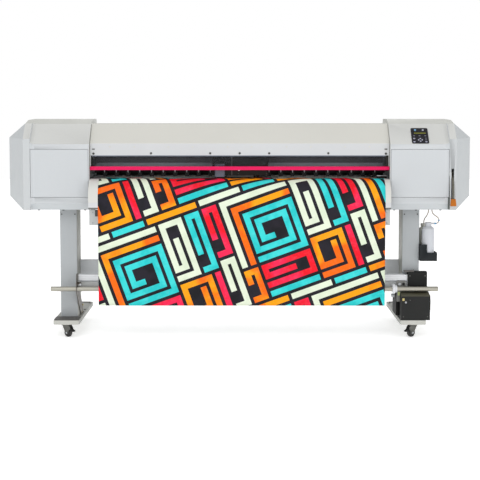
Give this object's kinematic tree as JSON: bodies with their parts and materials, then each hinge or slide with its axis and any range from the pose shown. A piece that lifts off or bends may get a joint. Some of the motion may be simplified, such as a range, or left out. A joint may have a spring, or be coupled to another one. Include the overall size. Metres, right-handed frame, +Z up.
{
  "type": "wide-format roll printer",
  "caption": "Free-standing roll-to-roll inkjet printer on a braked caster stand, with opening covers, a sliding print carriage, a hanging print, a take-up drive and waste bottles.",
  "frame": {"origin": "centre of the object's bounding box in X and Y, on the floor under the wheels at z = 0", "axes": "+Z up; +X to the operator's right, along the printer; the front, with the hanging print, faces -Y"},
  "size_m": [2.7, 0.88, 1.249],
  "materials": {
    "cover_grey": "satin, fine texture",
    "cover_warm": "satin, fine texture",
    "stand_grey": "satin powder coat",
    "foot_grey": "satin powder coat",
    "steel": "brushed",
    "bar_steel": "drawn, slightly dull",
    "aluminium": "anodised",
    "black_plastic": "fine grain",
    "dark_grey_plastic": "fine grain",
    "tray_metal": "satin",
    "window": "smoked, clear gloss",
    "magenta": "gloss",
    "cap_blue_grey": "semi-gloss",
    "wheel_rubber": "matt",
    "lever_metal": "satin",
    "grip_orange": "satin",
    "display": "green-yellow liquid crystal",
    "button_blue": "lit blue",
    "button_white": "satin",
    "pad_grey": "satin",
    "bottle_clear": "translucent",
    "bottle_beige": "translucent, stained",
    "hose_clear": "translucent, flexible",
    "belt_rubber": "matt",
    "print": "satin ink on banner sheet",
    "media_white": "satin",
    "bracket_brown": "satin",
    "collar_white": "satin"
  },
  "bodies": {
    "frame": {"chassis": "stand_grey", "left_post": "stand_grey", "right_post": "stand_grey", "left_foot": "foot_grey", "right_foot": "foot_grey", "lower_stretcher": "stand_grey", "left_end_cover": "cover_grey", "right_end_cover": "cover_grey", "top_cover": "cover_warm", "apron": "cover_grey", "platen": "aluminium", "rear_guide": "aluminium", "carriage_rail": "steel", "belt_motor": "black_plastic", "drive_belt": "belt_rubber", "control_panel": "black_plastic", "panel_display": "display", "bottle_tray": "tray_metal", "front_waste_bottle": "bottle_clear", "rear_waste_bottle": "bottle_beige", "front_waste_hose": "hose_clear", "rear_waste_hose": "hose_clear", "takeup_drive": "black_plastic", "takeup_rail": "aluminium", "takeup_bracket": "bracket_brown", "printed_media": "print", "power_inlet": "black_plastic", "roll_cradle": "stand_grey"},
    "front_cover_body": {"front_cover": "cover_warm", "front_window": "window", "front_cover_bar": "magenta"},
    "left_door": {"left_front_door": "cover_grey"},
    "right_door": {"right_front_door": "cover_grey"},
    "carriage_body": {"carriage": "black_plastic", "carriage_cap": "cap_blue_grey", "print_head": "steel"},
    "grit_roller_body": {"grit_roller": "steel"},
    "pinch_rollers": {"pinch_roller_bar": "dark_grey_plastic"},
    "capping_body": {"capping_station": "dark_grey_plastic"},
    "lever_body": {"load_lever": "lever_metal", "lever_grip": "grip_orange"},
    "tension_bar_body": {"tension_bar": "bar_steel", "tension_collar": "collar_white"},
    "media_roll_body": {"media_roll": "media_white"},
    "takeup_hub_body": {"takeup_hub": "steel"},
    "drive_pulley_body": {"drive_pulley": "steel"},
    "idler_pulley_body": {"idler_pulley": "steel"},
    "menu_button_body": {"menu_button": "button_blue"},
    "power_button_body": {"power_button": "button_white"},
    "arrow_pad_body": {"arrow_pad": "pad_grey"},
    "left_front_caster": {"left_front_fork": "steel"},
    "left_front_roller": {"left_front_wheel": "wheel_rubber"},
    "left_pedal": {"left_brake_pedal": "black_plastic"},
    "left_rear_caster": {"left_rear_fork": "steel"},
    "left_rear_roller": {"left_rear_wheel": "wheel_rubber"},
    "right_front_caster": {"right_front_fork": "steel"},
    "right_front_roller": {"right_front_wheel": "wheel_rubber"},
    "right_pedal": {"right_brake_pedal": "black_plastic"},
    "right_rear_caster": {"right_rear_fork": "steel"},
    "right_rear_roller": {"right_rear_wheel": "wheel_rubber"}
  },
  "joints": [
    {"name": "front_cover_hinge", "type": "hinge", "parent": "frame", "child": "front_cover_body", "pos_m": [0, -0.234, 1.216], "axis": [-1, 0, 0], "range_deg": [0, 70]},
    {"name": "left_door_hinge", "type": "hinge", "parent": "frame", "child": "left_door", "pos_m": [-1.1885, -0.372, 0.942], "axis": [0, 0, -1], "range_deg": [0, 90]},
    {"name": "right_door_hinge", "type": "hinge", "parent": "frame", "child": "right_door", "pos_m": [1.1885, -0.372, 0.942], "axis": [0, 0, 1], "range_deg": [0, 90]},
    {"name": "carriage_slide", "type": "slide", "parent": "frame", "child": "carriage_body", "axis": [1, 0, 0], "range_m": [-0.94, 0.94]},
    {"name": "grit_roller_spin", "type": "hinge", "parent": "frame", "child": "grit_roller_body", "pos_m": [0, -0.128, 0.8977], "axis": [1, 0, 0], "continuous": true},
    {"name": "load_lever_turn", "type": "hinge", "parent": "frame", "child": "lever_body", "pos_m": [1.209, -0.34, 0.942], "axis": [-1, 0, 0], "range_deg": [0, 60]},
    {"name": "pinch_roller_lift", "type": "slide", "parent": "frame", "child": "pinch_rollers", "axis": [0, 0, 1], "range_m": [0, 0.004]},
    {"name": "capping_lift", "type": "slide", "parent": "frame", "child": "capping_body", "axis": [0, 0, 1], "range_m": [0, 0.005]},
    {"name": "tension_bar_spin", "type": "hinge", "parent": "frame", "child": "tension_bar_body", "pos_m": [0, -0.34, 0.275], "axis": [1, 0, 0], "continuous": true},
    {"name": "media_roll_spin", "type": "hinge", "parent": "frame", "child": "media_roll_body", "pos_m": [0, 0.36, 0.64], "axis": [1, 0, 0], "continuous": true},
    {"name": "takeup_hub_spin", "type": "hinge", "parent": "frame", "child": "takeup_hub_body", "pos_m": [0.895, -0.24, 0.222], "axis": [1, 0, 0], "continuous": true},
    {"name": "drive_pulley_spin", "type": "hinge", "parent": "frame", "child": "drive_pulley_body", "pos_m": [-1.1, -0.134, 1.035], "axis": [0, -1, 0], "continuous": true},
    {"name": "idler_pulley_spin", "type": "hinge", "parent": "frame", "child": "idler_pulley_body", "pos_m": [1.1, -0.134, 1.035], "axis": [0, -1, 0], "continuous": true},
    {"name": "menu_button_press", "type": "slide", "parent": "frame", "child": "menu_button_body", "axis": [0, 0.7166, -0.6975], "range_m": [0, 0.001], "stiffness_N_per_m": 400},
    {"name": "power_button_press", "type": "slide", "parent": "frame", "child": "power_button_body", "axis": [0, 0.7166, -0.6975], "range_m": [0, 0.001], "stiffness_N_per_m": 400},
    {"name": "arrow_pad_press", "type": "slide", "parent": "frame", "child": "arrow_pad_body", "axis": [0, 0.7166, -0.6975], "range_m": [0, 0.001], "stiffness_N_per_m": 400},
    {"name": "left_front_swivel", "type": "hinge", "parent": "frame", "child": "left_front_caster", "pos_m": [-1, -0.343, 0.0707], "axis": [0, 0, 1], "continuous": true},
    {"name": "left_front_wheel_spin", "type": "hinge", "parent": "left_front_caster", "child": "left_front_roller", "pos_m": [-0.98526, -0.35332, 0.025], "axis": [0.5736, 0.8191, 0], "continuous": true},
    {"name": "left_brake_pedal_tilt", "type": "hinge", "parent": "left_front_caster", "child": "left_pedal", "pos_m": [-0.97051, -0.36365, 0.05], "axis": [-0.5736, -0.8191, 0], "range_deg": [0, 25]},
    {"name": "left_rear_swivel", "type": "hinge", "parent": "frame", "child": "left_rear_caster", "pos_m": [-1, 0.215, 0.0707], "axis": [0, 0, 1], "continuous": true},
    {"name": "left_rear_wheel_spin", "type": "hinge", "parent": "left_rear_caster", "child": "left_rear_roller", "pos_m": [-1, 0.233, 0.025], "axis": [-1, 0, 0], "continuous": true},
    {"name": "right_front_swivel", "type": "hinge", "parent": "frame", "child": "right_front_caster", "pos_m": [1, -0.343, 0.0707], "axis": [0, 0, 1], "continuous": true},
    {"name": "right_front_wheel_spin", "type": "hinge", "parent": "right_front_caster", "child": "right_front_roller", "pos_m": [0.98526, -0.35332, 0.025], "axis": [0.5736, -0.8191, 0], "continuous": true},
    {"name": "right_brake_pedal_tilt", "type": "hinge", "parent": "right_front_caster", "child": "right_pedal", "pos_m": [0.97051, -0.36365, 0.05], "axis": [-0.5736, 0.8191, 0], "range_deg": [0, 25]},
    {"name": "right_rear_swivel", "type": "hinge", "parent": "frame", "child": "right_rear_caster", "pos_m": [1, 0.215, 0.0707], "axis": [0, 0, 1], "continuous": true},
    {"name": "right_rear_wheel_spin", "type": "hinge", "parent": "right_rear_caster", "child": "right_rear_roller", "pos_m": [1, 0.233, 0.025], "axis": [-1, 0, 0], "continuous": true}
  ],
  "couplings": [
    {"joint": "pinch_roller_lift", "follows": "load_lever_turn", "m_per_rad": 0.0038},
    {"joint": "drive_pulley_spin", "follows": "carriage_slide", "rad_per_m": 65.36},
    {"joint": "idler_pulley_spin", "follows": "carriage_slide", "rad_per_m": 65.36}
  ]
}
